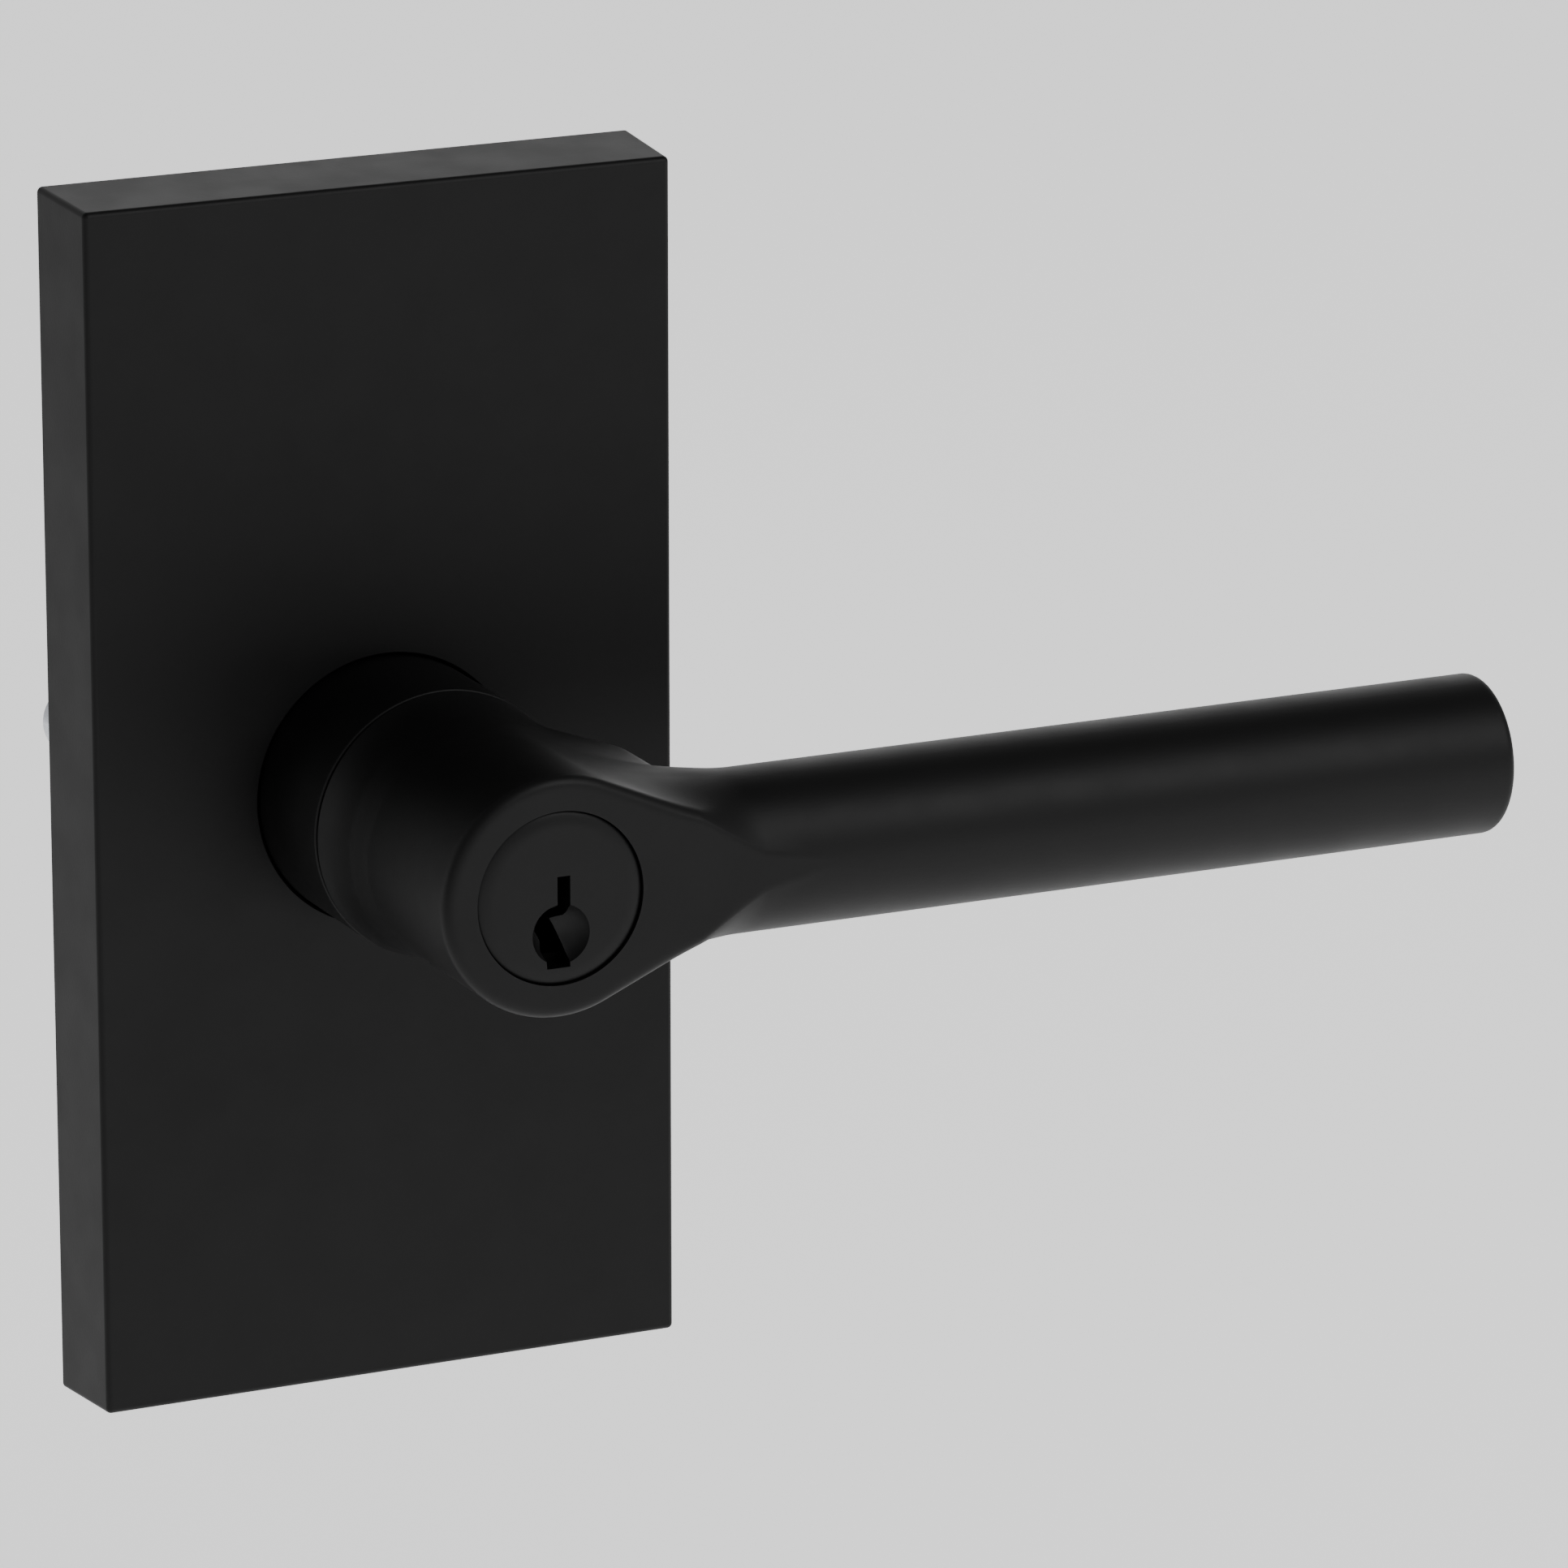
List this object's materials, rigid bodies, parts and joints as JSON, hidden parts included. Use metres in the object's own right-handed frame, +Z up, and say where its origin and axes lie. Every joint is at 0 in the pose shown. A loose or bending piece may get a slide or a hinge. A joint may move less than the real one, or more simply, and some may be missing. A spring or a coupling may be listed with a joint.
{
  "type": "keyed door lever lockset",
  "caption": "Keyed door lever handle for one side of a door: round straight lever with a lock cylinder in its face, on a tall rectangular rose.",
  "frame": {"origin": "on the spindle axis, in the plane of the door's face that the rose rests on", "axes": "+X towards the lever's tip, +Y into the door along the spindle, +Z up the door; the lever stands out along -Y"},
  "size_m": [0.1411, 0.1155, 0.1282],
  "materials": {
    "satin_black": "satin black powder coat",
    "zinc_steel": "zinc plated steel",
    "spring_steel": "oiled spring steel",
    "brass": "machined brass",
    "acetal": "natural acetal",
    "foam": "closed-cell foam"
  },
  "bodies": {
    "rose_mount": {"rose_cover": "satin_black", "mounting_plate": "zinc_steel", "door_gasket": "foam", "post_left": "zinc_steel", "post_right": "zinc_steel", "stop_pin_left": "zinc_steel", "stop_pin_right": "zinc_steel", "rose_clip_top": "spring_steel", "rose_clip_bottom": "spring_steel", "collar": "satin_black", "collar_screw_1": "zinc_steel", "collar_screw_2": "zinc_steel", "collar_screw_3": "zinc_steel", "bearing_bush": "acetal", "thrust_washer": "zinc_steel", "return_spring": "spring_steel"},
    "lever_assembly": {"lever": "satin_black", "spindle_sleeve": "zinc_steel", "spring_driver": "zinc_steel", "stop_cam": "zinc_steel", "sleeve_circlip": "spring_steel", "drive_spindle": "zinc_steel", "catch_spring": "spring_steel", "cylinder_shell": "brass", "pin_cover": "brass", "cylinder_spacer": "zinc_steel", "driver_spring_1": "spring_steel", "driver_spring_2": "spring_steel", "driver_spring_3": "spring_steel", "driver_spring_4": "spring_steel", "driver_spring_5": "spring_steel"},
    "plug_assembly": {"plug": "satin_black", "plug_clip": "spring_steel", "tailpiece": "zinc_steel", "tail_screw_left": "zinc_steel", "tail_screw_right": "zinc_steel"},
    "catch": {"lever_catch": "zinc_steel"},
    "key_pin_stack_1": {"key_pin_1": "brass"},
    "key_pin_stack_2": {"key_pin_2": "brass"},
    "key_pin_stack_3": {"key_pin_3": "brass"},
    "key_pin_stack_4": {"key_pin_4": "brass"},
    "key_pin_stack_5": {"key_pin_5": "brass"},
    "driver_stack_1": {"driver_pin_1": "zinc_steel"},
    "driver_stack_2": {"driver_pin_2": "zinc_steel"},
    "driver_stack_3": {"driver_pin_3": "zinc_steel"},
    "driver_stack_4": {"driver_pin_4": "zinc_steel"},
    "driver_stack_5": {"driver_pin_5": "zinc_steel"}
  },
  "joints": [
    {"name": "lever_turn", "type": "hinge", "parent": "rose_mount", "child": "lever_assembly", "pos_m": [0, 0, 0], "axis": [0, 1, 0], "range_deg": [-50, 50], "stiffness_Nm_per_rad": 3, "deforming": ["return_spring"]},
    {"name": "plug_turn", "type": "hinge", "parent": "lever_assembly", "child": "plug_assembly", "pos_m": [0, 0, 0], "axis": [0, 1, 0], "range_deg": [0, 90]},
    {"name": "catch_press", "type": "slide", "parent": "lever_assembly", "child": "catch", "axis": [0, 0, 1], "range_m": [0, 0.0018], "stiffness_N_per_m": 600, "deforming": ["catch_spring"]},
    {"name": "key_pin_1_slide", "type": "slide", "parent": "plug_assembly", "child": "key_pin_stack_1", "axis": [0, 0, 1], "range_m": [-0.0016, 0]},
    {"name": "key_pin_2_slide", "type": "slide", "parent": "plug_assembly", "child": "key_pin_stack_2", "axis": [0, 0, 1], "range_m": [-0.0009, 0]},
    {"name": "key_pin_3_slide", "type": "slide", "parent": "plug_assembly", "child": "key_pin_stack_3", "axis": [0, 0, 1], "range_m": [-0.0014, 0]},
    {"name": "key_pin_4_slide", "type": "slide", "parent": "plug_assembly", "child": "key_pin_stack_4", "axis": [0, 0, 1], "range_m": [-0.0007, 0]},
    {"name": "key_pin_5_slide", "type": "slide", "parent": "plug_assembly", "child": "key_pin_stack_5", "axis": [0, 0, 1], "range_m": [-0.0012, 0]},
    {"name": "driver_pin_1_slide", "type": "slide", "parent": "lever_assembly", "child": "driver_stack_1", "axis": [0, 0, 1], "range_m": [-0.0016, 0], "deforming": ["driver_spring_1"]},
    {"name": "driver_pin_2_slide", "type": "slide", "parent": "lever_assembly", "child": "driver_stack_2", "axis": [0, 0, 1], "range_m": [-0.0009, 0], "deforming": ["driver_spring_2"]},
    {"name": "driver_pin_3_slide", "type": "slide", "parent": "lever_assembly", "child": "driver_stack_3", "axis": [0, 0, 1], "range_m": [-0.0014, 0], "deforming": ["driver_spring_3"]},
    {"name": "driver_pin_4_slide", "type": "slide", "parent": "lever_assembly", "child": "driver_stack_4", "axis": [0, 0, 1], "range_m": [-0.0007, 0], "deforming": ["driver_spring_4"]},
    {"name": "driver_pin_5_slide", "type": "slide", "parent": "lever_assembly", "child": "driver_stack_5", "axis": [0, 0, 1], "range_m": [-0.0012, 0], "deforming": ["driver_spring_5"]}
  ],
  "couplings": [
    {"joint": "driver_pin_1_slide", "follows": "key_pin_1_slide", "ratio": 1},
    {"joint": "driver_pin_2_slide", "follows": "key_pin_2_slide", "ratio": 1},
    {"joint": "driver_pin_3_slide", "follows": "key_pin_3_slide", "ratio": 1},
    {"joint": "driver_pin_4_slide", "follows": "key_pin_4_slide", "ratio": 1},
    {"joint": "driver_pin_5_slide", "follows": "key_pin_5_slide", "ratio": 1}
  ]
}
